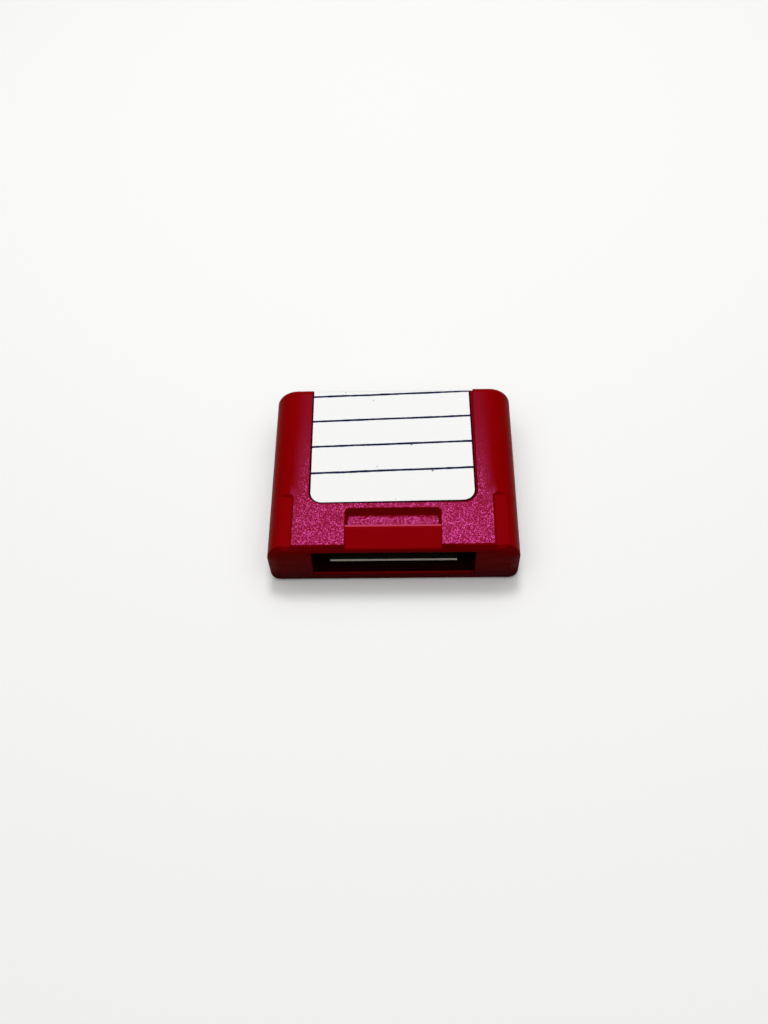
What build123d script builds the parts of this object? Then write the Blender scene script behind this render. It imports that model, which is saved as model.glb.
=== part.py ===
from build123d import *
from math import atan2, degrees
import os

# Sizes are in millimetres. X runs across the card, Y from the open mouth to the label end
# and Z up from the underside. The origin lies under the middle of the case.

# Outside of the case
case_width = 64.0
case_depth = 50.9
case_height = 16.0
split_height = 8.0        # the two shells meet here
side_round = 6.0          # long edges of the top
base_round = 2.6          # long edges of the underside
front_round = 1.0
rear_round = 2.0
nose_lean = 0.6           # the front leans back this far between the split and the top
seam_depth = 0.1          # fine line where the shells meet
seam_height = 0.12

# Walls of the case
side_wall = 2.0
front_wall = 2.4
rear_wall = 2.0
floor_wall = 2.0
roof_wall = 2.4
inner_base_round = 0.8    # long lower edges of the cavity

# Steps in the front corners of the top
step_inset = 6.1          # from the side of the case to the step's inner wall
step_length = 16.2
step_drop = 0.7
step_corner = 1.2
step_bevel = 0.55
bevel_angle = 45.0        # degrees, also round the latch

# Latch in the middle of the front edge of the top: ramp, ridge and pocket
latch_width = 24.2
ramp_length = 6.1
ramp_fall = 1.1
ridge_length = 1.2
ridge_drop = 0.2
pocket_length = 4.7
pocket_depth = 2.5
pocket_corner = 0.4       # at the floor of the pocket
pocket_lean = 0.6         # its side and rear walls lean outwards this far
latch_bevel = 0.2
ridge_round = 0.3
ramp_round = 0.4

# Mouth for the connector
mouth_width = 41.5
mouth_depth = 11.8
sill_height = 3.0
lip_wall = 2.7            # from the roof of the mouth to the flat top
mouth_edge = 0.4
lip_depth = 5.2           # behind this the roof of the mouth drops to clear the latch pocket
pocket_wall = 1.6
cheek_wall = 1.6
bulkhead_wall = 1.6

# Paper label, folded over the rear edge, and its recess
label_width = 42.1
label_front = 14.2        # from the front of the case
label_fold = 5.6          # how far it reaches down the rear
label_thickness = 0.2
label_corner = 3.0
label_shift = -0.3        # stuck on by hand, a little to the left
label_turn = 0.6          # degrees
recess_depth = 0.4
recess_gap = 0.7

# Circuit board
board_sink = 0.55         # its underside lies this far below the split
board_thickness = 0.8
board_side_gap = 1.5
board_front_gap = 0.6
board_rear_gap = 1.2
board_corner = 1.0
tongue_margin = 0.55      # beside the outer contacts
tongue_setback = 1.4      # from the front of the case
tongue_bevel = 0.1
slot_gap = 0.05

# Edge contacts on both faces of the tongue
contact_count = 16
contact_pitch = 2.0
contact_width = 1.2
contact_length = 7.5
contact_setback = 0.8
contact_thickness = 0.06

# Posts that hold the board, with pins on two of them
post_diameter = 4.0
post_inset = 2.6          # from the edges of the board
post_root = 1.0           # how far a post runs into the wall that carries it
pin_diameter = 1.8
pin_reach = 0.9
pin_gap = 0.1

# Screw, its well in the underside and the boss it bites into
boss_inset = 6.0          # from the rear edge of the board
boss_diameter = 6.0
boss_gap = 0.3
well_gap = 0.5
well_depth = 3.4
well_wall = 1.4
seat_wall = 1.6
screw_diameter = 2.6
screw_length = 8.6
screw_gap = 0.2
thread_gap = 0.05
pilot_spare = 0.4
head_diameter = 5.0
head_height = 1.8
head_bevel = 0.7
drive_length = 2.8
drive_width = 0.7
drive_depth = 1.0

# Lip that keys the shells together
lip_height = 1.0
lip_thickness = 0.8
lip_gap = 0.1

# Leads and moulded bodies of the chips
lead_pitch = 1.27
lead_thickness = 0.2
lead_width = 0.42
lead_foot = 0.5
chip_standoff = 0.1
chip_draft = 7.0          # degrees
mark_diameter = 0.8
mark_depth = 0.1
mark_inset = 1.0

# Memory chip
memory_length = 18.1
memory_width = 8.4
memory_height = 2.4
memory_span = 11.8        # over the leads
memory_lead_count = 14    # on each side
memory_inset = 13.5       # from the left edge of the board
memory_setback = 11.5     # from the rear edge of the board

# Decoder and supervisor, two narrow chips side by side
narrow_width = 3.9
narrow_height = 1.5
narrow_span = 6.0
narrow_setback = 4.2      # from the front edge of the board
decoder_length = 8.7
decoder_lead_count = 7    # on each side
decoder_x = -15.5
supervisor_length = 4.9
supervisor_lead_count = 4 # on each side
supervisor_x = -3.5

# Diodes
diode_length = 2.6
diode_width = 1.6
diode_height = 1.1
diode_span = 4.2
diode_count = 2
diode_pitch = 4.7
diode_x = 15.4            # middle of the row
diode_setback = 6.0       # from the front edge of the board

# Capacitors and resistors, each a row of small two-ended parts
small_length = 2.0
small_width = 1.25
end_cap_length = 0.4
capacitor_height = 0.9
capacitor_count = 3
capacitor_pitch = 3.5
capacitor_x = 6.5         # middle of the row
capacitor_setback = 2.6   # from the front edge of the board
resistor_height = 0.5
resistor_count = 4
resistor_pitch = 2.9
resistor_x = 5.2
resistor_setback = 6.4

# Coin cell and the strips welded to it
cell_inset = 12.5         # from the right edge of the board
cell_setback = 13.5       # from the rear edge of the board
cell_diameter = 20.0
cell_height = 3.2
cell_bevel = 0.6
cap_diameter = 17.4
cap_step = 0.3
tab_thickness = 0.2
tab_width = 4.0
tab_overlap = 7.0
tab_clear = 0.8
tab_foot = 1.5

front = -case_depth / 2
rear = case_depth / 2
cavity_half = case_width / 2 - side_wall
roof = case_height - roof_wall
mouth_top = case_height - lip_wall
throat_top = case_height - pocket_depth - pocket_wall
bulkhead_rear = front + mouth_depth + bulkhead_wall
board_base = split_height - board_sink
board_top = board_base + board_thickness
board_half = cavity_half - board_side_gap
board_front = bulkhead_rear + board_front_gap
board_rear = rear - rear_wall - board_rear_gap
tongue_half = (contact_pitch * (contact_count - 1) + contact_width) / 2 + tongue_margin
boss_y = board_rear - boss_inset
boss_foot = well_depth + seat_wall
well_diameter = head_diameter + 2 * well_gap
cell_x = board_half - cell_inset
cell_y = board_rear - cell_setback
over = case_height        # cutters reach this far past what they cut
close = 0.001             # faces nearer than this lie on each other


def block(x_span, y_span, z_span):
    spans = (x_span, y_span, z_span)
    size = [high - low for low, high in spans]
    middle = [(high + low) / 2 for low, high in spans]
    return Pos(*middle) * Box(*size)


def rod(x, y, z_span, diameter):
    low, high = z_span
    return Pos(x, y, (low + high) / 2) * Cylinder(diameter / 2, high - low)


def lengthwise(outline, start, stop):
    # Extrude an outline drawn in X and Z from one Y to another
    plane = Plane(origin=(0, stop, 0), x_dir=(1, 0, 0), z_dir=(0, -1, 0))
    return extrude(plane * outline, stop - start)


def across(outline, width):
    # Extrude an outline drawn in Y and Z over a width centred on the card
    return extrude(Plane.YZ * outline, width / 2, both=True)


def section(width, low, high, top_round, low_round):
    # Cross-section with rounded shoulders and a rounded foot
    outline = Pos(0, (low + high) / 2) * Rectangle(width, high - low)
    outline = fillet(outline.vertices().group_by(Axis.Y)[-1], top_round)
    return fillet(outline.vertices().group_by(Axis.Y)[0], low_round)


def nose_outline():
    # Side view that is upright below the split and leans back above it
    foot = Line((front, -over), (front, split_height))
    brow = TangentArc((front, split_height), (front + nose_lean, case_height), tangent=(0, 1))
    corners = [(front + nose_lean, case_height), (front + nose_lean, case_height + over)]
    corners += [(rear + over, case_height + over), (rear + over, -over), (front, -over)]
    return make_face([foot, brow, Polyline(*corners)])


def case_form(height):
    # Outer form of the closed case, cut off flat at a given height, with its front and rear rims rounded
    outline = section(case_width, 0, case_height, side_round, base_round)
    outline &= Pos(0, height / 2) * Rectangle(case_width, height)
    form = lengthwise(outline, front - over, rear) & across(nose_outline(), case_width + over)
    front_rim = ShapeList()
    for edge in form.edges():
        at_front = edge.bounding_box().max.Y < front + nose_lean + close
        along_split = edge.bounding_box().size.Z < close and abs(edge.center().Z - split_height) < close
        if at_front and not along_split:
            front_rim.append(edge)
    form = fillet(front_rim, front_round)
    rear_rim = form.edges().filter_by(lambda edge: edge.bounding_box().min.Y > rear - close)
    return fillet(rear_rim, rear_round)


def corner_zones():
    # Upright prisms over the two stepped corners, flared where they leave the flat top
    inner = case_width / 2 - step_inset
    reach = step_inset + over
    zones = Part()
    for side in (-1, 1):
        spot = Pos(side * (inner + reach / 2), front + (step_length - over) / 2)
        plan = spot * Rectangle(reach, step_length + over)
        rear_corners = plan.vertices().group_by(Axis.Y)[-1]
        plan = fillet(rear_corners.sort_by(lambda corner: abs(corner.X))[0], step_corner)
        zones += extrude(Pos(0, 0, split_height) * plan, case_height)
        zones += extrude(Pos(0, 0, case_height - step_bevel) * plan, 2 * step_bevel, taper=-bevel_angle)
    return zones


def wrap_band(inner, outer, start, stop):
    # Side view of a band that follows the top and the rear between two depths below the surface
    bend_y = rear - rear_round
    bend_z = case_height - rear_round
    inner_top = Line((start, case_height - inner), (bend_y, case_height - inner))
    inner_bend = TangentArc((bend_y, case_height - inner), (rear - inner, bend_z), tangent=(1, 0))
    end_points = [(rear - inner, bend_z), (rear - inner, stop), (rear - outer, stop), (rear - outer, bend_z)]
    ends = Polyline(*end_points)
    outer_bend = TangentArc((rear - outer, bend_z), (bend_y, case_height - outer), tangent=(0, 1))
    start_points = [(bend_y, case_height - outer), (start, case_height - outer), (start, case_height - inner)]
    outer_top = Polyline(*start_points)
    return make_face([inner_top, inner_bend, ends, outer_bend, outer_top])


def sheet_plan(width, start, corner):
    # Plan of a sheet that runs off behind the case, with rounded front corners
    plan = Pos(0, (start + rear + over) / 2) * Rectangle(width, rear + over - start)
    return fillet(plan.vertices().group_by(Axis.Y)[0], corner)


def folded_sheet(plan, inner, outer, stop, corner):
    # Part of a band over the top and the rear that lies within a plan, with rounded lower corners
    band = across(wrap_band(inner, outer, front, stop), case_width)
    sheet = band & extrude(plan, case_height + over)
    low_edges = sheet.edges().group_by(Axis.Z)[0].sort_by(Axis.X)
    return fillet([low_edges[0], low_edges[-1]], corner)


def label_recess():
    corner = label_corner + recess_gap
    plan = sheet_plan(label_width + 2 * recess_gap, front + label_front - recess_gap, corner)
    return folded_sheet(plan, recess_depth, -over, case_height - label_fold - recess_gap, corner)


def label():
    plan = sheet_plan(label_width, front + label_front, label_corner)
    middle = (front + label_front + rear) / 2
    lay = Pos(label_shift, middle) * Rot(0, 0, label_turn) * Pos(0, -middle)
    outer = recess_depth - label_thickness
    return folded_sheet(lay * plan, recess_depth, outer, case_height - label_fold, label_corner)


def pocket_cut(rim, start, stop):
    # Pocket whose side and rear walls lean outwards up to the height where the ridge starts to round
    low = case_height - pocket_depth
    rise = pocket_depth - ridge_drop - ridge_round
    floor = Pos(0, start) * Rectangle(latch_width - 2 * pocket_lean, 2 * (stop - pocket_lean - start))
    floor = fillet(floor.vertices().group_by(Axis.Y)[-1], pocket_corner)
    cut = extrude(Pos(0, 0, low) * floor, rise, taper=-degrees(atan2(pocket_lean, rise)))
    cut += extrude(Pos(0, 0, low + rise) * rim, over)
    return cut - block((-case_width, case_width), (front - 2 * over, start), (0, case_height + over))


def latch_cut():
    # Ramp and rounded ridge as one side view, the pocket, and a bevel where their rim meets the flat top
    ramp_top = front + ramp_length
    ridge_end = ramp_top + ridge_length
    pocket_end = ridge_end + pocket_length
    ridge_top = case_height - ridge_drop
    toe = (front - over, ridge_top - ramp_fall - over * ramp_fall / ramp_length)
    crest = (ridge_end - ridge_round, ridge_top)
    brink = (ridge_end, ridge_top - ridge_round)
    climb = Polyline(toe, (ramp_top, ridge_top), crest)
    bend = TangentArc(crest, brink, tangent=(1, 0))
    back = Polyline(brink, (ridge_end, case_height + over), (front - over, case_height + over), toe)
    cut = across(make_face([climb, bend, back]), latch_width)
    rim = Pos(0, (pocket_end + front - over) / 2) * Rectangle(latch_width, pocket_end - front + over)
    rim = fillet(rim.vertices().group_by(Axis.Y)[-1], pocket_corner + pocket_lean)
    cut += pocket_cut(rim, ridge_end, pocket_end)
    return cut + extrude(Pos(0, 0, case_height - latch_bevel) * rim, 2 * latch_bevel, taper=-bevel_angle)


def mouth_cut():
    # Room for the connector, lower behind the lip
    cut = Part()
    for top, depth in ((mouth_top, lip_depth), (throat_top, mouth_depth)):
        outline = Rectangle(mouth_width, top - sill_height)
        cut += lengthwise(Pos(0, (top + sill_height) / 2) * outline, front - over, front + depth)
    half = tongue_half + slot_gap
    slot = (front + lip_depth, bulkhead_rear + over)
    return cut + block((-half, half), slot, (board_base - slot_gap, board_top + slot_gap))


def cavity():
    # Room behind the bulkhead and beside the mouth
    outline = section(2 * cavity_half, floor_wall, roof, side_round - side_wall, inner_base_round)
    room = lengthwise(outline, front + front_wall, rear - rear_wall)
    cheek = mouth_width / 2 + cheek_wall
    return room - block((-cheek, cheek), (front, bulkhead_rear), (0, case_height))


def seam():
    # Fine line round the case where the shells meet
    inside = Rectangle(case_width - 2 * seam_depth, case_depth - 2 * seam_depth)
    inside = fillet(inside.vertices().group_by(Axis.Y)[0], front_round)
    inside = fillet(inside.vertices().group_by(Axis.Y)[-1], rear_round)
    low = split_height - seam_height / 2
    ring = Rectangle(case_width + over, case_depth + over) - inside
    return extrude(Pos(0, 0, low) * ring, seam_height)


def soften_ramp(case):
    # Round the front edge of the ramp
    in_front = case.edges().filter_by(lambda edge: edge.center().Y < front + nose_lean)
    ramp_edge = in_front.filter_by(lambda edge: abs(edge.length - latch_width) < close)
    return fillet(ramp_edge.sort_by(Axis.Z)[-1], ramp_round)


def soften_mouth(case):
    # Round the rim of the mouth
    rim = ShapeList()
    for edge in case.edges():
        box = edge.bounding_box()
        at_front = box.max.Y < front + nose_lean
        in_width = box.max.X < mouth_width / 2 + close and box.min.X > -mouth_width / 2 - close
        in_height = box.min.Z > sill_height - close and box.max.Z < mouth_top + close
        if at_front and in_width and in_height:
            rim.append(edge)
    return fillet(rim, mouth_edge)


def hollow_case():
    zones = corner_zones()
    raised = case_form(case_height) - zones
    lowered = case_form(case_height - step_drop) & zones
    case = raised + lowered
    case -= label_recess()
    case -= latch_cut()
    case = soften_ramp(case)
    case -= mouth_cut()
    case = soften_mouth(case)
    case -= cavity()
    return case - seam()


def post_spots():
    # Places of the posts, with the pinned pair on one diagonal
    half = board_half - post_inset
    near = board_front + post_inset
    far = board_rear - post_inset
    return [(-half, near, True), (half, near, False), (-half, far, False), (half, far, True)]


def lip_ring(thickness, height):
    # Rim inside the walls, open towards the mouth
    half = cavity_half + thickness
    back = rear - rear_wall
    ring = block((-half, half), (board_front, back + thickness), (split_height, split_height + height))
    return ring - block((-cavity_half, cavity_half), (board_front - over, back), (0, case_height))


def top_shell(case):
    upper = (split_height, split_height + case_height)
    shell = case & block((-case_width, case_width), (-case_depth, case_depth), upper)
    shell -= lip_ring(lip_thickness + lip_gap, lip_height + lip_gap)
    for x, y, pinned in post_spots():
        shell += rod(x, y, (board_top, roof + post_root), post_diameter)
        if pinned:
            shell -= rod(x, y, (board_top, board_top + pin_reach + pin_gap), pin_diameter + 2 * pin_gap)
    shell += rod(0, boss_y, (boss_foot, roof + post_root), boss_diameter)
    pilot = (boss_foot, well_depth + screw_length + pilot_spare)
    return shell - rod(0, boss_y, pilot, screw_diameter + 2 * thread_gap)


def bottom_shell(case):
    lower = (split_height - case_height, split_height)
    shell = case & block((-case_width, case_width), (-case_depth, case_depth), lower)
    shell += lip_ring(lip_thickness, lip_height)
    for x, y, pinned in post_spots():
        shell += rod(x, y, (floor_wall - post_root, board_base), post_diameter)
        if pinned:
            shell += rod(x, y, (board_base, board_top + pin_reach), pin_diameter)
    shell += rod(0, boss_y, (floor_wall - post_root, boss_foot), well_diameter + 2 * well_wall)
    shell -= rod(0, boss_y, (-over, well_depth), well_diameter)
    return shell - rod(0, boss_y, (0, boss_foot), screw_diameter + 2 * screw_gap)


def circuit_board():
    # Wide board with a narrow tongue that reaches into the mouth
    tip = front + tongue_setback
    middle = (board_front + board_rear) / 2
    wide = Pos(0, middle) * Rectangle(2 * board_half, board_rear - board_front)
    wide = fillet(wide.vertices(), board_corner)
    tongue = Pos(0, (tip + middle) / 2) * Rectangle(2 * tongue_half, middle - tip)
    board = extrude(Pos(0, 0, board_base) * (wide + tongue), board_thickness)
    tip_edges = board.edges().filter_by(Axis.X).group_by(Axis.Y)[0]
    board = chamfer(tip_edges, tongue_bevel)
    for x, y, pinned in post_spots():
        if pinned:
            board -= rod(x, y, (board_base, board_top), pin_diameter + 2 * pin_gap)
    return board - rod(0, boss_y, (board_base, board_top), boss_diameter + 2 * boss_gap)


def edge_contacts(low):
    # One row of gold fingers, its lower face at a given height
    start = front + tongue_setback + contact_setback
    fingers = []
    for x in row(contact_count, contact_pitch):
        span = (x - contact_width / 2, x + contact_width / 2)
        fingers.append(block(span, (start, start + contact_length), (low, low + contact_thickness)))
    return Compound(children=fingers)


def on_board(x, y, turn=0):
    return Pos(x, y, board_top) * Rot(0, 0, turn)


def row(count, pitch):
    # Evenly spaced places about zero
    return [pitch * (number - (count - 1) / 2) for number in range(count)]


def chip_body(length, width, height):
    # Moulded body along Y that narrows above and below its middle
    middle = chip_standoff + height / 2
    outline = Rectangle(width, length)
    body = extrude(Pos(0, 0, middle) * outline, height / 2, taper=chip_draft)
    return body + extrude(Plane((0, 0, middle), z_dir=(0, 0, -1)) * outline, height / 2, taper=chip_draft)


def marked_body(length, width, height):
    # Chip body with a round mark beside its first lead
    top = chip_standoff + height
    mark = rod(mark_inset - width / 2, mark_inset - length / 2, (top - mark_depth, top), mark_diameter)
    return chip_body(length, width, height) - mark


def bent_leads(width, height, span, lead_count):
    # Leads on both sides, from the middle of the body's side down to the board
    middle = chip_standoff + height / 2
    low = middle - lead_thickness / 2
    high = middle + lead_thickness / 2
    knee = span / 2 - lead_foot
    shin = knee - lead_thickness
    points = [(width / 2, low), (shin, low), (shin, 0), (span / 2, 0), (span / 2, lead_thickness)]
    points += [(knee, lead_thickness), (knee, high), (width / 2, high), (width / 2, low)]
    lead = extrude(Plane.XZ * make_face(Polyline(*points)), lead_width / 2, both=True)
    leads = []
    for y in row(lead_count, lead_pitch):
        leads.append(Pos(0, y, 0) * lead)
        leads.append(Pos(0, y, 0) * Rot(0, 0, 180) * lead)
    return leads


def placed(spot, pieces):
    return Compound(children=[spot * piece for piece in pieces])


def memory_pieces():
    spot = on_board(memory_inset - board_half, board_rear - memory_setback)
    body = spot * marked_body(memory_length, memory_width, memory_height)
    leads = bent_leads(memory_width, memory_height, memory_span, memory_lead_count)
    return body, placed(spot, leads)


def narrow_pieces(x, length, lead_count):
    # Decoder or supervisor, turned so that its leads point to the front and the rear
    spot = on_board(x, board_front + narrow_setback, 90)
    body = spot * marked_body(length, narrow_width, narrow_height)
    leads = bent_leads(narrow_width, narrow_height, narrow_span, lead_count)
    return body, placed(spot, leads)


def diode_pieces():
    bodies = []
    leads = []
    for x in row(diode_count, diode_pitch):
        spot = on_board(diode_x + x, board_front + diode_setback)
        bodies.append(spot * chip_body(diode_width, diode_length, diode_height))
        leads += [spot * lead for lead in bent_leads(diode_length, diode_height, diode_span, 1)]
    return Compound(children=bodies), Compound(children=leads)


def small_pieces(spots, height):
    # Plain middles of small two-ended parts, and their metal ends
    inner = small_length / 2 - end_cap_length
    side = (-small_width / 2, small_width / 2)
    middles = []
    ends = []
    for spot in spots:
        middles.append(spot * block(side, (-inner, inner), (0, height)))
        ends.append(spot * block(side, (-small_length / 2, -inner), (0, height)))
        ends.append(spot * block(side, (inner, small_length / 2), (0, height)))
    return Compound(children=middles), Compound(children=ends)


def coin_cell():
    # Flat can under the board, closed by a smaller cap on its upper side
    top = board_base - tab_thickness
    rim = top - cap_step
    low = top - cell_height
    radius = cell_diameter / 2
    points = [(0, low), (0, top), (cap_diameter / 2, top), (cap_diameter / 2, rim), (radius, rim)]
    points += [(radius, low + cell_bevel), (radius - cell_bevel, low), (0, low)]
    can = revolve(Plane.XZ * make_face(Polyline(*points)), Axis.Z)
    return Pos(cell_x, cell_y, 0) * can


def cell_plus_tab():
    # Strip under the cell that steps up to the board in front of it
    high = board_base - tab_thickness - cell_height
    low = high - tab_thickness
    sole = board_base - tab_thickness
    edge = cell_y - cell_diameter / 2
    leg = edge - tab_clear
    toe = leg - tab_thickness - tab_foot
    points = [(edge + tab_overlap, high), (leg, high), (leg, board_base), (toe, board_base), (toe, sole)]
    points += [(leg - tab_thickness, sole), (leg - tab_thickness, low), (edge + tab_overlap, low), points[0]]
    return Pos(cell_x, 0, 0) * across(make_face(Polyline(*points)), tab_width)


def cell_minus_tab():
    # Flat strip under the board, above the cell and out behind it
    edge = cell_y + cell_diameter / 2
    reach = (edge - tab_overlap, edge + tab_foot)
    sides = (cell_x - tab_width / 2, cell_x + tab_width / 2)
    return block(sides, reach, (board_base - tab_thickness, board_base))


def case_screw():
    # Pan head with a cross-shaped drive, seated in the well
    low = well_depth - head_height
    head = rod(0, boss_y, (low, well_depth), head_diameter)
    head = chamfer(head.edges().group_by(Axis.Z)[0], head_bevel)
    for length, width in ((drive_length, drive_width), (drive_width, drive_length)):
        drive = Pos(0, boss_y, low + drive_depth / 2) * Box(length, width, drive_depth)
        head -= drive
    return head + rod(0, boss_y, (well_depth, well_depth + screw_length), screw_diameter)


def build():
    case = hollow_case()
    memory, memory_leads = memory_pieces()
    decoder, decoder_leads = narrow_pieces(decoder_x, decoder_length, decoder_lead_count)
    supervisor, supervisor_leads = narrow_pieces(supervisor_x, supervisor_length, supervisor_lead_count)
    diodes, diode_leads = diode_pieces()
    capacitor_y = board_front + capacitor_setback
    capacitor_spots = [on_board(capacitor_x + x, capacitor_y) for x in row(capacitor_count, capacitor_pitch)]
    capacitors, capacitor_ends = small_pieces(capacitor_spots, capacitor_height)
    resistor_y = board_front + resistor_setback
    resistor_spots = [on_board(resistor_x + x, resistor_y) for x in row(resistor_count, resistor_pitch)]
    resistors, resistor_ends = small_pieces(resistor_spots, resistor_height)
    return {
        "top_shell": top_shell(case),
        "bottom_shell": bottom_shell(case),
        "label": label(),
        "circuit_board": circuit_board(),
        "upper_edge_contacts": edge_contacts(board_top),
        "lower_edge_contacts": edge_contacts(board_base - contact_thickness),
        "memory_chip": memory,
        "memory_chip_leads": memory_leads,
        "decoder_chip": decoder,
        "decoder_chip_leads": decoder_leads,
        "supervisor_chip": supervisor,
        "supervisor_chip_leads": supervisor_leads,
        "blocking_diodes": diodes,
        "diode_leads": diode_leads,
        "chip_capacitors": capacitors,
        "capacitor_end_caps": capacitor_ends,
        "chip_resistors": resistors,
        "resistor_end_caps": resistor_ends,
        "coin_cell": coin_cell(),
        "cell_plus_tab": cell_plus_tab(),
        "cell_minus_tab": cell_minus_tab(),
        "case_screw": case_screw(),
    }


os.makedirs("parts", exist_ok=True)
for node, shape in build().items():
    export_step(shape, f"parts/{node}.step")
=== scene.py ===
import bmesh
import bpy
from math import hypot, pi, radians, sqrt
from mathutils import Euler, Matrix, Vector


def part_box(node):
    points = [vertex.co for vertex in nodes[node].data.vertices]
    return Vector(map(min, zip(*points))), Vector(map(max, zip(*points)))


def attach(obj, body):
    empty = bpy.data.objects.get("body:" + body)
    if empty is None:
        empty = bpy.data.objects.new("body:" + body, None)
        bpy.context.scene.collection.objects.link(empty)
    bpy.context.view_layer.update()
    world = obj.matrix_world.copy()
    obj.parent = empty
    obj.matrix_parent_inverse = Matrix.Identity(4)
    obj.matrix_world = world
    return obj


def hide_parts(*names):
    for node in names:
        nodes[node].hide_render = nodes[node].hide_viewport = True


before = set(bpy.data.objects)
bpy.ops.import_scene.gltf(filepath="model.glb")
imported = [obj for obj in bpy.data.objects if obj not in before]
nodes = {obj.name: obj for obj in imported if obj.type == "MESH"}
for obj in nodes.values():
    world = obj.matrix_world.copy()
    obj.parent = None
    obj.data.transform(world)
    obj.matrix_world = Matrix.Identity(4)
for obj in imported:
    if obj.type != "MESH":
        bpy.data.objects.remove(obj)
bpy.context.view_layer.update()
mm = 0.001  # the frame is in metres
print("frame loaded with", len(nodes), "nodes")


def linearColour(code):
    channels = [int(code[place:place + 2], 16) / 255 for place in (1, 3, 5)]
    linear = [c / 12.92 if c <= 0.04045 else ((c + 0.055) / 1.055) ** 2.4 for c in channels]
    return (*linear, 1.0)


def addNode(tree, kind, settings, inputs):
    node = tree.nodes.new(kind)
    for name, value in settings.items():
        setattr(node, name, value)
    for key, value in inputs.items():
        if isinstance(value, bpy.types.NodeSocket):
            tree.links.new(value, node.inputs[key])
        else:
            node.inputs[key].default_value = value
    return node


def startMaterial(name):
    material = bpy.data.materials.new(name)
    material.use_nodes = True
    return material, material.node_tree, material.node_tree.nodes["Principled BSDF"]


def uprightPart(tree):
    normal = addNode(tree, "ShaderNodeNewGeometry", {}, {}).outputs["Normal"]
    upward = addNode(tree, "ShaderNodeSeparateXYZ", {}, {0: normal}).outputs["Z"]
    return addNode(tree, "ShaderNodeMath", {"operation": "ABSOLUTE"}, {0: upward}).outputs[0]


def seenByCamera(tree):  # 1 for rays from the camera, also mirrored or let through, and 0 for bounced light
    path = addNode(tree, "ShaderNodeLightPath", {}, {}).outputs
    mirrored = addNode(tree, "ShaderNodeMath", {"operation": "MAXIMUM"}, {
        0: path["Is Camera Ray"], 1: path["Is Glossy Ray"]}).outputs[0]
    return addNode(tree, "ShaderNodeMath", {"operation": "MAXIMUM"}, {
        0: mirrored, 1: path["Is Transmission Ray"]}).outputs[0]


# ABS, injection moulded in a spark-eroded tool: deep red and satin. The grain on the flats breaks
# the light into sparkle, and the ramp, the steps and the rounded edges stay smooth.
caseFinish = {
    "red": "#8A0203",
    "darkRed": "#830001",
    "mottle": 7.0,         # mm
    "grain": 0.21,         # mm, the true grain is about 0.15 and is drawn coarser so that it shows
    "grainTilt": 0.1,      # most that a facet of the grain leans, as a slope
    "flatFrom": 0.994,     # upward part of the normal where the grain starts
    "flatFull": 0.9995,
    "fadeFrom": 22.5,      # mm from the middle, behind the steps the grain fades out from here
    "fadeOut": 26.5,       # mm
    "fadeAlong": (-11.0, -5.0),  # mm, where that fading sets in, at the rear end of the steps
    "stepHeight": 15.3,    # mm, the floor of the corner steps, which has no grain
    "stepMargin": 0.1,     # mm
    "undersideTop": 8.0,   # mm, the flats below this are neither faded nor worn
    "wornFrom": -8.0,      # mm, hands have smoothed the grain towards the rear
    "wornFull": 20.0,      # mm
    "wornLeft": 0.35,      # share of the grain left there
    "roughFlat": 0.18,
    "roughRound": 0.3,
    "glossFlat": 0.4,
    "glossRound": 0.01,
    "ripple": 1.8,         # mm, faint waves left by the cooling plastic
    "rippleDepth": 0.004,  # mm
    "glossTint": "#FF60D6",
    # Painted shade: the sides and rounds of the case darken towards the table
    "footPaintedShade": "#3A0002",
    "footReach": 9.0,      # mm above the table where the painted shade ends
    "footShare": 0.7,      # share of the painted shade's colour at the table
    # Boxes in mm with a colour of their own and a share of the grain: the top of the ridge, its rear strip
    # painted pale as a painted highlight, the pocket's rear wall a little lighter as painted light, the recess of
    # the label on the top and on the rear darker as painted shade, and the mouth near black as painted shade
    "patches": (
        ("#8A0203", 0.0, ((-12.1, 12.1), (-19.4, -18.1), (15.5, 16.1))),
        # Painted highlight: a pale strip along the rear of the ridge
        ("#C64064", 1.0, ((-12.1, 12.1), (-18.75, -18.1), (15.5, 16.1))),
        # Painted light: the pocket's rear wall a little lighter than the case's red
        ("#8E0203", 0.0, ((-12.0, 12.0), (-14.3, -13.0), (13.6, 15.9))),
        # Painted shade: the recess of the label, on the top and on the rear, darker than the case's red
        ("#7A0206", 0.0, ((-22.5, 22.5), (-12.5, 25.6), (15.5, 15.68))),
        ("#7A0206", 0.0, ((-22.5, 22.5), (24.9, 25.2), (9.0, 15.5))),
        # Painted shade: the inside of the mouth near black
        ("#220001", 0.0, ((-20.9, 20.9), (-24.7, -3.0), (2.9, 13.4))),
    ),
    # Painted shade darkens the gap along the edge of the label, which is 42.1 mm wide and lies a little askew
    "gapShade": "#14020A",
    "gapShadeMiddle": (-0.405, 17.1),  # mm, a point on the label's middle line
    "gapShadeTurn": 0.6,               # degrees
    "gapShadeHalf": (21.05, 28.35),    # mm from that point to the label's side and front
    "gapShadeCorner": 3.0,             # mm
    "gapShadeWidth": (0.25, 0.6),      # mm, full to here and gone there
    "gapShadeAbove": 15.4,             # mm, only on the top
    "refraction": 1.53,
}


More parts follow.
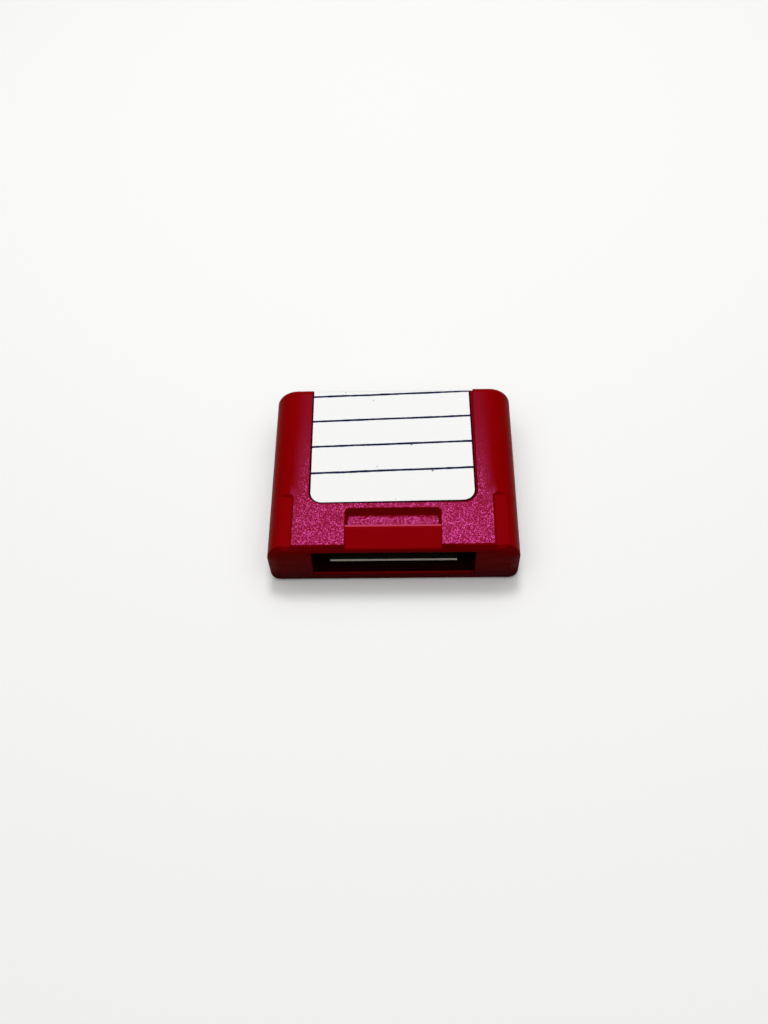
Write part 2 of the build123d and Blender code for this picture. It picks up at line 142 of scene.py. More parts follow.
def mouldedAbs():
    values = caseFinish
    material, tree, shader = startMaterial("mouldedAbs")
    place = addNode(tree, "ShaderNodeTexCoord", {}, {}).outputs["Object"]
    axes = addNode(tree, "ShaderNodeSeparateXYZ", {}, {0: place}).outputs
    flat = addNode(tree, "ShaderNodeMapRange", {"interpolation_type": "SMOOTHSTEP"}, {
        "Value": uprightPart(tree), "From Min": values["flatFrom"],
        "From Max": values["flatFull"]}).outputs["Result"]
    onStep = addNode(tree, "ShaderNodeMath", {"operation": "COMPARE"}, {
        0: axes["Z"], 1: values["stepHeight"] * mm, 2: values["stepMargin"] * mm}).outputs[0]
    offStep = addNode(tree, "ShaderNodeMath", {"operation": "SUBTRACT", "use_clamp": True}, {
        0: flat, 1: onStep}).outputs[0]
    aside = addNode(tree, "ShaderNodeMath", {"operation": "ABSOLUTE"}, {0: axes["X"]}).outputs[0]
    inward = addNode(tree, "ShaderNodeMapRange", {"interpolation_type": "SMOOTHSTEP"}, {
        "Value": aside, "From Min": values["fadeFrom"] * mm, "From Max": values["fadeOut"] * mm,
        "To Min": 1.0, "To Max": 0.0}).outputs["Result"]
    ahead, behind = values["fadeAlong"]
    forward = addNode(tree, "ShaderNodeMapRange", {"interpolation_type": "SMOOTHSTEP"}, {
        "Value": axes["Y"], "From Min": ahead * mm, "From Max": behind * mm,
        "To Min": 1.0, "To Max": 0.0}).outputs["Result"]
    reach = addNode(tree, "ShaderNodeMath", {"operation": "MAXIMUM"}, {0: inward, 1: forward}).outputs[0]
    worn = addNode(tree, "ShaderNodeMapRange", {"interpolation_type": "SMOOTHSTEP"}, {
        "Value": axes["Y"], "From Min": values["wornFrom"] * mm, "From Max": values["wornFull"] * mm,
        "To Min": 1.0, "To Max": values["wornLeft"]}).outputs["Result"]
    onTopSide = addNode(tree, "ShaderNodeMath", {"operation": "MULTIPLY"}, {0: reach, 1: worn}).outputs[0]
    below = addNode(tree, "ShaderNodeMath", {"operation": "LESS_THAN"}, {
        0: axes["Z"], 1: values["undersideTop"] * mm}).outputs[0]
    kept = addNode(tree, "ShaderNodeMath", {"operation": "MAXIMUM"}, {0: onTopSide, 1: below}).outputs[0]
    grained = addNode(tree, "ShaderNodeMath", {"operation": "MULTIPLY"}, {0: offStep, 1: kept}).outputs[0]
    mottle = addNode(tree, "ShaderNodeTexNoise", {}, {
        "Vector": place, "Scale": 1 / (values["mottle"] * mm), "Detail": 3.0}).outputs[0]
    colour = addNode(tree, "ShaderNodeMix", {"data_type": "RGBA"}, {
        "Factor": mottle, 6: linearColour(values["red"]), 7: linearColour(values["darkRed"])}).outputs[2]
    # Painted shade: darker towards the table on all but the flats, whether they face up or down
    atFoot = addNode(tree, "ShaderNodeMapRange", {"interpolation_type": "SMOOTHSTEP"}, {
        "Value": axes["Z"], "From Min": 0.0, "From Max": values["footReach"] * mm,
        "To Min": values["footShare"], "To Max": 0.0}).outputs["Result"]
    paintedShadeOnSides = addNode(tree, "ShaderNodeMath", {"operation": "SUBTRACT", "use_clamp": True}, {
        0: atFoot, 1: flat}).outputs[0]
    colour = addNode(tree, "ShaderNodeMix", {"data_type": "RGBA"}, {
        "Factor": paintedShadeOnSides, 6: colour, 7: linearColour(values["footPaintedShade"])}).outputs[2]
    for tone, share, box in values["patches"]:
        inBox = 1.0
        for axis, (low, high) in zip("XYZ", box):
            near = addNode(tree, "ShaderNodeMath", {"operation": "COMPARE"}, {
                0: axes[axis], 1: (low + high) / 2 * mm, 2: (high - low) / 2 * mm}).outputs[0]
            inBox = addNode(tree, "ShaderNodeMath", {"operation": "MULTIPLY"}, {0: near, 1: inBox}).outputs[0]
        colour = addNode(tree, "ShaderNodeMix", {"data_type": "RGBA"}, {
            "Factor": inBox, 6: colour, 7: linearColour(tone)}).outputs[2]
        left = addNode(tree, "ShaderNodeMapRange", {}, {
            "Value": inBox, "To Min": 1.0, "To Max": share}).outputs["Result"]
        grained = addNode(tree, "ShaderNodeMath", {"operation": "MULTIPLY"}, {0: grained, 1: left}).outputs[0]
    # Painted shade: a dark band in the gap around the label's edge, on the top only
    fromLabel = addNode(tree, "ShaderNodeMapping", {"vector_type": "TEXTURE"}, {
        "Vector": place, "Location": [side * mm for side in values["gapShadeMiddle"]] + [0.0],
        "Rotation": (0.0, 0.0, radians(values["gapShadeTurn"])), "Scale": (mm, mm, mm)}).outputs[0]
    folded = addNode(tree, "ShaderNodeVectorMath", {"operation": "ABSOLUTE"}, {0: fromLabel}).outputs[0]
    anyHeight = 1000.0  # mm, more than any height on the card, so that height plays no part
    straight = [side - values["gapShadeCorner"] for side in values["gapShadeHalf"]] + [anyHeight]
    beyond = addNode(tree, "ShaderNodeVectorMath", {"operation": "SUBTRACT"}, {0: folded, 1: straight}).outputs[0]
    outer = addNode(tree, "ShaderNodeVectorMath", {"operation": "MAXIMUM"}, {
        0: beyond, 1: (0.0, 0.0, 0.0)}).outputs[0]
    away = addNode(tree, "ShaderNodeVectorMath", {"operation": "LENGTH"}, {0: outer}).outputs["Value"]
    full, gone = (values["gapShadeCorner"] + width for width in values["gapShadeWidth"])
    beside = addNode(tree, "ShaderNodeMapRange", {"interpolation_type": "SMOOTHSTEP"}, {
        "Value": away, "From Min": full, "From Max": gone, "To Min": 1.0, "To Max": 0.0}).outputs["Result"]
    onTop = addNode(tree, "ShaderNodeMath", {"operation": "GREATER_THAN"}, {
        0: axes["Z"], 1: values["gapShadeAbove"] * mm}).outputs[0]
    inGapShade = addNode(tree, "ShaderNodeMath", {"operation": "MULTIPLY"}, {0: beside, 1: onTop}).outputs[0]
    colour = addNode(tree, "ShaderNodeMix", {"data_type": "RGBA"}, {
        "Factor": inGapShade, 6: colour, 7: linearColour(values["gapShade"])}).outputs[2]
    ripple = addNode(tree, "ShaderNodeTexNoise", {}, {
        "Vector": place, "Scale": 1 / (values["ripple"] * mm), "Detail": 1.0}).outputs[0]
    waves = addNode(tree, "ShaderNodeBump", {}, {
        "Distance": values["rippleDepth"] * mm, "Height": ripple}).outputs[0]
    grain = addNode(tree, "ShaderNodeTexVoronoi", {}, {
        "Vector": place, "Scale": 1 / (values["grain"] * mm)}).outputs["Color"]
    lean = addNode(tree, "ShaderNodeVectorMath", {"operation": "MULTIPLY_ADD"}, {
        0: grain, 1: [2 * values["grainTilt"]] * 3, 2: [-values["grainTilt"]] * 3}).outputs[0]
    leaning = addNode(tree, "ShaderNodeVectorMath", {"operation": "SCALE"}, {
        0: lean, "Scale": grained}).outputs[0]
    tilted = addNode(tree, "ShaderNodeVectorMath", {"operation": "ADD"}, {0: waves, 1: leaning}).outputs[0]
    facets = addNode(tree, "ShaderNodeVectorMath", {"operation": "NORMALIZE"}, {0: tilted}).outputs[0]
    rough = addNode(tree, "ShaderNodeMapRange", {}, {
        "Value": grained, "To Min": values["roughRound"], "To Max": values["roughFlat"]}).outputs["Result"]
    gloss = addNode(tree, "ShaderNodeMapRange", {}, {
        "Value": grained, "To Min": values["glossRound"], "To Max": values["glossFlat"]}).outputs["Result"]
    tree.links.new(colour, shader.inputs["Base Color"])
    tree.links.new(rough, shader.inputs["Roughness"])
    tree.links.new(gloss, shader.inputs["Specular IOR Level"])
    tree.links.new(facets, shader.inputs["Normal"])
    shader.inputs["IOR"].default_value = values["refraction"]
    shader.inputs["Specular Tint"].default_value = linearColour(values["glossTint"])
    return material


# Writing paper, cut by hand and ruled with a pen: flat white fibres and slightly uneven dark blue lines
paperFinish = {
    "white": "#FBFBFA",
    "grey": "#F5F5F4",
    "ink": "#06123A",
    "lineCount": 4,
    "firstLine": -1.82,    # mm behind the middle of the case
    "spacing": 8.34,       # mm
    "lineWidth": 0.66,     # mm
    "lineTurn": 1.85,      # degrees
    "wander": 0.12,        # mm, how far the pen strays
    "wanderLength": 14.0,  # mm
    "swell": 0.15,         # share by which the line's width changes
    "swellLength": 2.5,    # mm
    "swellNoise": (0.3, 0.7),  # values of the noise for the thinnest and the widest line
    # Blots in mm: place across and along, and radius. The first two lie on lines, where the pen rested.
    "blots": ((4.9, 6.3, 0.42), (10.3, -2.1, 0.4), (-12.9, 23.9, 0.25), (-5.3, 21.1, 0.2), (-4.1, -0.6, 0.25),
              (0.7, -10.7, 0.2)),
    "blotCore": 0.3,       # share of the radius that has the blot's full colour
    "blotInk": 0.8,        # share of the ink's colour there
    "fibre": 0.35,         # mm, drawn coarser than true fibres so that it shows
    "fibreDepth": 0.004,   # mm
    "rough": 0.85,
    "gloss": 0.25,
}


def ruledPaper():
    values = paperFinish
    material, tree, shader = startMaterial("ruledPaper")
    place = addNode(tree, "ShaderNodeTexCoord", {}, {}).outputs["Object"]
    turned = addNode(tree, "ShaderNodeMapping", {}, {
        "Vector": place, "Rotation": (0.0, 0.0, radians(-values["lineTurn"])),
        "Scale": (1 / mm, 1 / mm, 1 / mm)}).outputs[0]
    along = addNode(tree, "ShaderNodeSeparateXYZ", {}, {0: turned}).outputs["Y"]
    stray = addNode(tree, "ShaderNodeTexNoise", {}, {
        "Vector": turned, "Scale": 1 / values["wanderLength"], "Detail": 1.0}).outputs[0]
    strayed = addNode(tree, "ShaderNodeMath", {"operation": "MULTIPLY_ADD"}, {
        0: stray, 1: 2 * values["wander"], 2: along}).outputs[0]
    steps = addNode(tree, "ShaderNodeMapRange", {"clamp": False}, {
        "Value": strayed, "From Min": values["firstLine"] + values["wander"],
        "From Max": values["firstLine"] + values["wander"] + values["spacing"]}).outputs["Result"]
    nearest = addNode(tree, "ShaderNodeMath", {"operation": "ROUND"}, {0: steps}).outputs[0]
    fromFirst = addNode(tree, "ShaderNodeMath", {"operation": "MAXIMUM"}, {0: nearest, 1: 0.0}).outputs[0]
    toLast = addNode(tree, "ShaderNodeMath", {"operation": "MINIMUM"}, {
        0: fromFirst, 1: values["lineCount"] - 1}).outputs[0]
    offset = addNode(tree, "ShaderNodeMath", {"operation": "SUBTRACT"}, {0: steps, 1: toLast}).outputs[0]
    distance = addNode(tree, "ShaderNodeMath", {"operation": "ABSOLUTE"}, {0: offset}).outputs[0]
    swell = addNode(tree, "ShaderNodeTexNoise", {}, {
        "Vector": turned, "Scale": 1 / values["swellLength"], "Detail": 2.0}).outputs[0]
    halfLine = values["lineWidth"] / values["spacing"] / 2
    thin, wide = values["swellNoise"]
    reach = addNode(tree, "ShaderNodeMapRange", {}, {
        "Value": swell, "From Min": thin, "From Max": wide, "To Min": halfLine * (1 - values["swell"]),
        "To Max": halfLine * (1 + values["swell"])}).outputs["Result"]
    line = addNode(tree, "ShaderNodeMath", {"operation": "LESS_THAN"}, {0: distance, 1: reach}).outputs[0]
    fibre = addNode(tree, "ShaderNodeTexNoise", {}, {
        "Vector": turned, "Scale": 1 / values["fibre"], "Detail": 3.0}).outputs[0]
    paper = addNode(tree, "ShaderNodeMix", {"data_type": "RGBA"}, {
        "Factor": fibre, 6: linearColour(values["white"]), 7: linearColour(values["grey"])}).outputs[2]
    level = addNode(tree, "ShaderNodeVectorMath", {"operation": "MULTIPLY"}, {
        0: place, 1: (1 / mm, 1 / mm, 0.0)}).outputs[0]
    inked = line
    for x, y, radius in values["blots"]:
        away = addNode(tree, "ShaderNodeVectorMath", {"operation": "DISTANCE"}, {
            0: level, 1: (x, y, 0.0)}).outputs["Value"]
        blot = addNode(tree, "ShaderNodeMapRange", {"interpolation_type": "SMOOTHSTEP"}, {
            "Value": away, "From Min": values["blotCore"] * radius, "From Max": radius,
            "To Min": values["blotInk"], "To Max": 0.0}).outputs["Result"]
        inked = addNode(tree, "ShaderNodeMath", {"operation": "MAXIMUM"}, {0: inked, 1: blot}).outputs[0]
    ruled = addNode(tree, "ShaderNodeMix", {"data_type": "RGBA"}, {
        "Factor": inked, 6: paper, 7: linearColour(values["ink"])}).outputs[2]
    nap = addNode(tree, "ShaderNodeBump", {}, {
        "Distance": values["fibreDepth"] * mm, "Height": fibre}).outputs[0]
    tree.links.new(ruled, shader.inputs["Base Color"])
    tree.links.new(nap, shader.inputs["Normal"])
    shader.inputs["Roughness"].default_value = values["rough"]
    shader.inputs["Specular IOR Level"].default_value = values["gloss"]
    return material


# Glass-fibre epoxy laminate: green lacquer over copper tracks on its faces, bare cream fibre on its cut edges
boardFinish = {
    "lacquer": "#0B1A10",
    "track": "#11261A",
    "edge": "#FBF1E2",
    "edgeFibre": "#EADFCB",
    "trackPitch": 1.3,     # mm
    "trackGap": 0.22,      # in pitches, as is the length
    "trackLength": 6.0,
    "fibre": 0.25,         # mm
    "faceFrom": 0.9,       # upright part of the normal above which it is a face and not an edge
    "roughEdge": 0.75,
    "roughFace": 0.3,
}


def glassEpoxy():
    values = boardFinish
    material, tree, shader = startMaterial("glassEpoxyBoard")
    place = addNode(tree, "ShaderNodeTexCoord", {}, {}).outputs["Object"]
    face = addNode(tree, "ShaderNodeMath", {"operation": "GREATER_THAN"}, {
        0: uprightPart(tree), 1: values["faceFrom"]}).outputs[0]
    cells = addNode(tree, "ShaderNodeTexBrick", {}, {
        "Vector": place, "Scale": 1 / (values["trackPitch"] * mm), "Color1": linearColour(values["track"]),
        "Color2": linearColour(values["lacquer"]), "Mortar": linearColour(values["lacquer"]),
        "Mortar Size": values["trackGap"], "Brick Width": values["trackLength"],
        "Row Height": 1.0}).outputs["Color"]
    fibre = addNode(tree, "ShaderNodeTexNoise", {}, {
        "Vector": place, "Scale": 1 / (values["fibre"] * mm), "Detail": 2.0}).outputs[0]
    edge = addNode(tree, "ShaderNodeMix", {"data_type": "RGBA"}, {
        "Factor": fibre, 6: linearColour(values["edge"]), 7: linearColour(values["edgeFibre"])}).outputs[2]
    colour = addNode(tree, "ShaderNodeMix", {"data_type": "RGBA"}, {
        "Factor": face, 6: edge, 7: cells}).outputs[2]
    rough = addNode(tree, "ShaderNodeMapRange", {}, {
        "Value": face, "To Min": values["roughEdge"], "To Max": values["roughFace"]}).outputs["Result"]
    tree.links.new(colour, shader.inputs["Base Color"])
    tree.links.new(rough, shader.inputs["Roughness"])
    return material


# Metals and moulded parts inside the case. Each has one colour pair, mixed by a fine pattern whose size
# is in mm.
innerFinishes = {
    # The gold plate's colours are far darker than gold: painted shade for the fingers deep under the mouth's lip
    "goldPlate": {"light": "#4E3D1F", "dark": "#362A13", "pattern": 0.4, "rough": (0.35, 0.55), "metal": 1.0},
    "mouldedEpoxy": {"light": "#1B1B1D", "dark": "#121214", "pattern": 0.3, "rough": (0.5, 0.65), "metal": 0.0},
    "tinnedCopper": {"light": "#C4C4C2", "dark": "#A3A3A3", "pattern": 0.5, "rough": (0.3, 0.5), "metal": 1.0},
    "firedCeramic": {"light": "#A58A6B", "dark": "#8E7457", "pattern": 0.4, "rough": (0.45, 0.6), "metal": 0.0},
    "nickelPlatedSteel": {"light": "#C8C6C1", "dark": "#A9A7A3", "pattern": 1.2, "rough": (0.25, 0.4), "metal": 1.0},
    "zincPlatedSteel": {"light": "#B9BBBD", "dark": "#85888C", "pattern": 0.8, "rough": (0.3, 0.5), "metal": 1.0},
}
dentDepth = 0.005  # mm, on all of them


def patternedFinish(name):
    values = innerFinishes[name]
    material, tree, shader = startMaterial(name)
    place = addNode(tree, "ShaderNodeTexCoord", {}, {}).outputs["Object"]
    pattern = addNode(tree, "ShaderNodeTexNoise", {}, {
        "Vector": place, "Scale": 1 / (values["pattern"] * mm), "Detail": 3.0}).outputs[0]
    colour = addNode(tree, "ShaderNodeMix", {"data_type": "RGBA"}, {
        "Factor": pattern, 6: linearColour(values["light"]), 7: linearColour(values["dark"])}).outputs[2]
    smooth, coarse = values["rough"]
    rough = addNode(tree, "ShaderNodeMapRange", {}, {
        "Value": pattern, "To Min": smooth, "To Max": coarse}).outputs["Result"]
    dents = addNode(tree, "ShaderNodeBump", {}, {"Distance": dentDepth * mm, "Height": pattern}).outputs[0]
    tree.links.new(colour, shader.inputs["Base Color"])
    tree.links.new(rough, shader.inputs["Roughness"])
    tree.links.new(dents, shader.inputs["Normal"])
    shader.inputs["Metallic"].default_value = values["metal"]
    return material


caseRed = mouldedAbs()
gold = patternedFinish("goldPlate")
resin = patternedFinish("mouldedEpoxy")
tin = patternedFinish("tinnedCopper")
nickel = patternedFinish("nickelPlatedSteel")
nodeFinishes = {
    "top_shell": caseRed,
    "bottom_shell": caseRed,
    "label": ruledPaper(),
    "circuit_board": glassEpoxy(),
    "upper_edge_contacts": gold,
    "lower_edge_contacts": gold,
    "memory_chip": resin,
    "decoder_chip": resin,
    "supervisor_chip": resin,
    "blocking_diodes": resin,
    "chip_resistors": resin,
    "memory_chip_leads": tin,
    "decoder_chip_leads": tin,
    "supervisor_chip_leads": tin,
    "diode_leads": tin,
    "capacitor_end_caps": tin,
    "resistor_end_caps": tin,
    "chip_capacitors": patternedFinish("firedCeramic"),
    "coin_cell": nickel,
    "cell_plus_tab": nickel,
    "cell_minus_tab": nickel,
    "case_screw": patternedFinish("zincPlatedSteel"),
}
for name, material in nodeFinishes.items():
    nodes[name].material_slots[0].material = material
print("materials on", len(nodeFinishes), "nodes")

# Nose of the case. The solids have a flat front with a small round. The real front rolls over to its rim,
# so a copy of each shell is cut into narrow bands there and drawn back along the rim.
caseNose = {
    "front": -25.45,       # mm
    "lean": 0.6,           # mm that the front leans back from the split to the top
    "split": 8.0,          # mm
    "height": 16.0,        # mm
    "halfWidth": 32.0,     # mm
    "topCorner": 6.0,      # mm
    "baseCorner": 2.6,     # mm
    "rim": 1.0,            # mm, round of the solids, and how far the rim lies behind the front
    "roll": 3.0,           # mm from the rim to where the front is straight
    "base": (1.0, 5.0),    # mm, heights between which the roll sets in
    "skin": (0.18, 0.78),  # mm behind the front, moved in full to here and not at all from there
    "reach": 2.0,          # mm behind the front, nothing further back is moved
    "band": 0.5,           # mm
    "bandReach": 1.8,      # mm behind the front, faces that lie before this are cut
    "lowestCut": 0.13,     # mm above the underside, off every edge of the solids
    "outerCut": 0.17,      # mm in from the side
    "sideCuts": 13,
    "weld": 0.002,         # mm
    "sharp": 30,           # degrees
}


def rimDepth(x, z):
    corner = caseNose["topCorner"] if z > caseNose["split"] else caseNose["baseCorner"]
    across = abs(x) - caseNose["halfWidth"] + corner
    upDown = abs(z - caseNose["height"] / 2) - caseNose["height"] / 2 + corner
    outside = hypot(max(across, 0), max(upDown, 0)) + min(max(across, upDown), 0) - corner
    return max(-outside, 0)


def rollNose(node):
    values = caseNose
    source = nodes[node].data.copy()
    solidNormals = source.attributes.new("solidNormal", "FLOAT_VECTOR", "CORNER")
    for corner, normal in zip(solidNormals.data, source.corner_normals):
        corner.vector = normal.vector
    piece = bmesh.new()
    piece.from_mesh(source)
    bmesh.ops.remove_doubles(piece, verts=piece.verts, dist=values["weld"] * mm)
    levels = range(int(values["height"] / values["band"]))
    heights = [step * values["band"] + values["lowestCut"] for step in levels]
    outermost = values["halfWidth"] - values["outerCut"]
    sides = [outermost - step * values["band"] for step in range(values["sideCuts"])]
    cuts = [((0, 0, z), (0, 0, 1)) for z in heights]
    cuts += [((x * way, 0, 0), (1, 0, 0)) for x in sides for way in (-1, 1)]
    cutTo = (values["front"] + values["bandReach"]) * mm
    for place, normal in cuts:
        front = [face for face in piece.faces if max(v.co.y for v in face.verts) < cutTo]
        edges = {edge for face in front for edge in face.edges}
        points = {vertex for face in front for vertex in face.verts}
        bmesh.ops.bisect_plane(piece, geom=front + list(edges) + list(points), dist=values["weld"] * mm,
                               plane_co=Vector(place) * mm, plane_no=normal)
    bmesh.ops.triangulate(piece, faces=piece.faces)
    piece.verts.index_update()
    low, high = values["base"]
    full, none = values["skin"]
    moved = set()
    for vertex in piece.verts:
        x, y, z = vertex.co / mm
        if y > values["front"] + values["reach"]:
            continue
        depth = rimDepth(x, z)
        lean = values["lean"] * (max(z - values["split"], 0) / (values["height"] - values["split"])) ** 2
        built = values["rim"] - sqrt(values["rim"] ** 2 - max(values["rim"] - depth, 0) ** 2)
        rolled = values["rim"] * max(1 - depth / values["roll"], 0) ** 2
        behind = y - values["front"] - lean - built
        raised = min(max((z - low) / (high - low), 0), 1)
        share = raised * min(max((none - behind) / (none - full), 0), 1)
        vertex.co.y += (rolled - built) * share * mm
        if share > 0 and depth < values["roll"]:
            moved.add(vertex.index)
    mesh = bpy.data.meshes.new(node + "Rolled")
    piece.to_mesh(mesh)
    piece.free()
    mesh.materials.append(caseRed)
    mesh.shade_smooth()
    mesh.set_sharp_from_angle(angle=radians(values["sharp"]))
    normals = [corner.vector.copy() for corner in mesh.attributes["solidNormal"].data]
    for face in mesh.polygons:
        if moved.issuperset(face.vertices):  # all other faces keep the solid's own normals
            for corner in face.loop_indices:
                normals[corner] = mesh.corner_normals[corner].vector.copy()
    mesh.normals_split_custom_set(normals)
    mesh.attributes.remove(mesh.attributes["solidNormal"])
    holder = bpy.data.objects.new(node + "_rolled", mesh)
    bpy.context.scene.collection.objects.link(holder)
    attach(holder, "root")
    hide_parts(node)
    print(holder.name, "has", len(mesh.polygons), "faces")


rollNose("top_shell")
rollNose("bottom_shell")

# Gold-plated fingers on both faces of the board's tongue, one rounded plate repeated along the edge
fingerRow = {
    "count": 16,
    "pitch": 2.0,    # mm
    "width": 1.2,    # mm
    "corner": 0.25,  # mm
    "cornerPoints": 4,
    "taper": 0.94,   # width of the plate's top against its foot
    "weld": 0.001,   # mm
}


def fingerTree():
    tree = bpy.data.node_groups.new("fingerRow", "GeometryNodeTree")
    sockets = (("Count", "NodeSocketInt"), ("Pitch", "NodeSocketFloat"), ("Width", "NodeSocketFloat"),
               ("Length", "NodeSocketFloat"), ("Thickness", "NodeSocketFloat"), ("Corner", "NodeSocketFloat"),
               ("Taper", "NodeSocketFloat"), ("Finish", "NodeSocketMaterial"))
    for name, kind in sockets:
        tree.interface.new_socket(name, in_out="INPUT", socket_type=kind)
    tree.interface.new_socket("Geometry", in_out="OUTPUT", socket_type="NodeSocketGeometry")
    sizes = addNode(tree, "NodeGroupInput", {}, {}).outputs
    gaps = addNode(tree, "ShaderNodeMath", {"operation": "SUBTRACT"}, {0: sizes["Count"], 1: 1.0}).outputs[0]
    span = addNode(tree, "ShaderNodeMath", {"operation": "MULTIPLY"}, {0: gaps, 1: sizes["Pitch"]}).outputs[0]
    left = addNode(tree, "ShaderNodeMath", {"operation": "MULTIPLY"}, {0: span, 1: -0.5}).outputs[0]
    first = addNode(tree, "ShaderNodeCombineXYZ", {}, {"X": left}).outputs[0]
    step = addNode(tree, "ShaderNodeCombineXYZ", {}, {"X": sizes["Pitch"]}).outputs[0]
    places = addNode(tree, "GeometryNodeMeshLine", {}, {
        "Count": sizes["Count"], "Start Location": first, "Offset": step}).outputs[0]
    outline = addNode(tree, "GeometryNodeCurvePrimitiveQuadrilateral", {}, {
        "Width": sizes["Width"], "Height": sizes["Length"]}).outputs[0]
    rounded = addNode(tree, "GeometryNodeFilletCurve", {"mode": "POLY"}, {
        "Curve": outline, "Count": fingerRow["cornerPoints"], "Radius": sizes["Corner"]}).outputs[0]
    plate = addNode(tree, "GeometryNodeFillCurve", {"mode": "NGONS"}, {"Curve": rounded}).outputs[0]
    raised = addNode(tree, "GeometryNodeExtrudeMesh", {"mode": "FACES"}, {
        "Mesh": plate, "Offset Scale": sizes["Thickness"], "Individual": False})
    tapered = addNode(tree, "GeometryNodeScaleElements", {}, {
        "Geometry": raised.outputs["Mesh"], "Selection": raised.outputs["Top"],
        "Scale": sizes["Taper"]}).outputs[0]
    foot = addNode(tree, "GeometryNodeFlipFaces", {}, {"Mesh": plate}).outputs[0]
    both = addNode(tree, "GeometryNodeJoinGeometry", {}, {0: tapered}).inputs[0]
    tree.links.new(foot, both)
    closed = addNode(tree, "GeometryNodeMergeByDistance", {}, {
        "Geometry": both.node.outputs[0], "Distance": fingerRow["weld"] * mm}).outputs[0]
    row = addNode(tree, "GeometryNodeInstanceOnPoints", {}, {"Points": places, "Instance": closed}).outputs[0]
    solid = addNode(tree, "GeometryNodeRealizeInstances", {}, {"Geometry": row}).outputs[0]
    plated = addNode(tree, "GeometryNodeSetMaterial", {}, {
        "Geometry": solid, "Material": sizes["Finish"]}).outputs[0]
    addNode(tree, "NodeGroupOutput", {}, {"Geometry": plated})
    return tree


def plateFingers(node, tree, turn):
    low, high = (Vector(corner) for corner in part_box(node))
    holder = bpy.data.objects.new(node + "_plated", bpy.data.meshes.new("fingerSeed"))
    bpy.context.scene.collection.objects.link(holder)
    modifier = holder.modifiers.new("fingerRow", "NODES")
    modifier.node_group = tree
    inputs = {
        "Count": fingerRow["count"], "Pitch": fingerRow["pitch"] * mm, "Width": fingerRow["width"] * mm,
        "Length": high.y - low.y, "Thickness": high.z - low.z, "Corner": fingerRow["corner"] * mm,
        "Taper": fingerRow["taper"], "Finish": gold}
    for socket in tree.interface.items_tree:
        if socket.in_out == "INPUT":
            modifier[socket.identifier] = inputs[socket.name]
    mesh = bpy.data.meshes.new_from_object(holder.evaluated_get(bpy.context.evaluated_depsgraph_get()))
    holder.modifiers.remove(modifier)
    foot = low.z if turn == 0 else high.z
    middle = Matrix.Translation(((low.x + high.x) / 2, (low.y + high.y) / 2, foot))
    mesh.transform(middle @ Matrix.Rotation(turn, 4, "Y"))
    holder.data = mesh
    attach(holder, "root")
    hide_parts(node)
    print(holder.name, "has", len(mesh.polygons), "faces")


fingers = fingerTree()
plateFingers("upper_edge_contacts", fingers, 0)
plateFingers("lower_edge_contacts", fingers, pi)

# Pale floor. Rays that carry bounced light see it darker than the camera does, so the front stays in shade.
floorFinish = {"seen": "#FBFBFA", "bounced": "#525251", "rough": 0.9, "gloss": 0.0, "size": 4.0}  # size in metres
floorMesh = bpy.data.meshes.new("floor")
half = floorFinish["size"] / 2
corners = [(-half, -half, 0), (half, -half, 0), (half, half, 0), (-half, half, 0)]
floorMesh.from_pydata(corners, [], [(0, 1, 2, 3)])
floor = bpy.data.objects.new("floor", floorMesh)
bpy.context.scene.collection.objects.link(floor)
floorMaterial, tree, shader = startMaterial("paleFloor")
shade = addNode(tree, "ShaderNodeMix", {"data_type": "RGBA"}, {
    "Factor": seenByCamera(tree), 6: linearColour(floorFinish["bounced"]),
    7: linearColour(floorFinish["seen"])}).outputs[2]
tree.links.new(shade, shader.inputs["Base Color"])
shader.inputs["Roughness"].default_value = floorFinish["rough"]
shader.inputs["Specular IOR Level"].default_value = floorFinish["gloss"]
floorMesh.materials.append(floorMaterial)

# One softbox high behind the card. The card's flats throw its light towards the camera.
softbox = {"place": (0.0, 0.222, 0.62), "size": 0.145, "power": 1.35}  # metres and watts
light = bpy.data.lights.new("rearSoftbox", "AREA")
light.size = softbox["size"]
light.energy = softbox["power"]
lamp = bpy.data.objects.new("rearSoftbox", light)
lamp.location = softbox["place"]
lamp.rotation_euler = (-Vector(softbox["place"])).to_track_quat("-Z", "Y").to_euler()
bpy.context.scene.collection.objects.link(lamp)

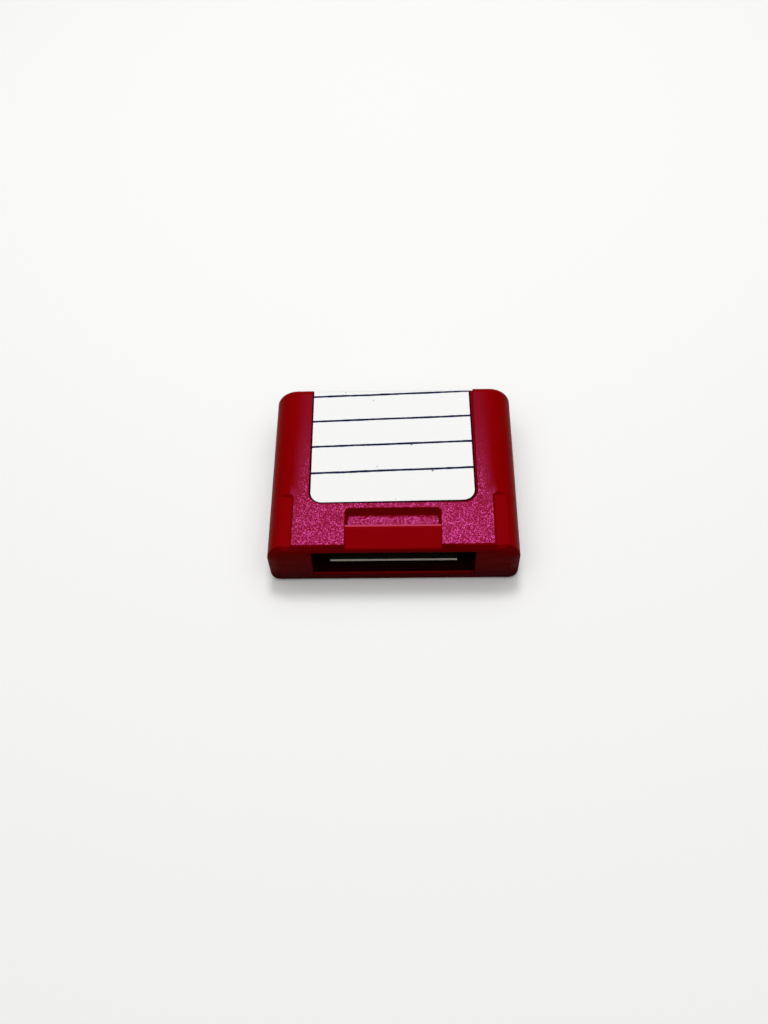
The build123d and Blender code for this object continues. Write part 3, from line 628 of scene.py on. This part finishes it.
# Soft room light from overhead, dark towards the horizon. What the camera sees of it, also mirrored, is white.
roomLight = {"bright": 1.45, "dark": 0.0, "seen": 1.0, "towards": (0.0, 0.0, 1.0), "from": 0.5, "full": 0.95}
world = bpy.data.worlds.new("studio")
world.use_nodes = True
bpy.context.scene.world = world
tree = world.node_tree
direction = addNode(tree, "ShaderNodeTexCoord", {}, {}).outputs["Generated"]
facing = addNode(tree, "ShaderNodeVectorMath", {"operation": "DOT_PRODUCT"}, {
    0: direction, 1: roomLight["towards"]}).outputs["Value"]
dome = addNode(tree, "ShaderNodeMapRange", {"interpolation_type": "SMOOTHSTEP"}, {
    "Value": facing, "From Min": roomLight["from"], "From Max": roomLight["full"],
    "To Min": roomLight["dark"], "To Max": roomLight["bright"]}).outputs["Result"]
strength = addNode(tree, "ShaderNodeMix", {}, {0: seenByCamera(tree), 2: dome, 3: roomLight["seen"]}).outputs[0]
background = tree.nodes["Background"]
background.inputs["Color"].default_value = linearColour("#FFFFFF")
tree.links.new(strength, background.inputs["Strength"])
print("floor, softbox and room light in place")

# Camera as the photograph was taken, for a picture of 768 by 1024
cameraView = {
    "place": (4.74, -147.11, 231.28),  # mm
    "down": 58.364,                    # degrees below the horizon
    "turn": -3.023,                    # degrees to the right
    "roll": -3.191,                    # degrees
    "lens": 35.156,                    # mm
    "sensor": 36.0,                    # mm along the tall side
    "clipFrom": 10.0,                  # mm
}
camera = bpy.data.cameras.new("camera")
camera.sensor_width = cameraView["sensor"]
camera.lens = cameraView["lens"]
camera.clip_start = cameraView["clipFrom"] * mm
cameraHolder = bpy.data.objects.new("camera", camera)
bpy.context.scene.collection.objects.link(cameraHolder)
aim = Euler((radians(90 - cameraView["down"]), 0, radians(-cameraView["turn"]))).to_matrix()
aim = aim @ Matrix.Rotation(radians(cameraView["roll"]), 3, "Z")
cameraHolder.matrix_world = Matrix.Translation(Vector(cameraView["place"]) * mm) @ aim.to_4x4()
bpy.context.scene.camera = cameraHolder
bpy.context.scene.view_settings.view_transform = "Standard"
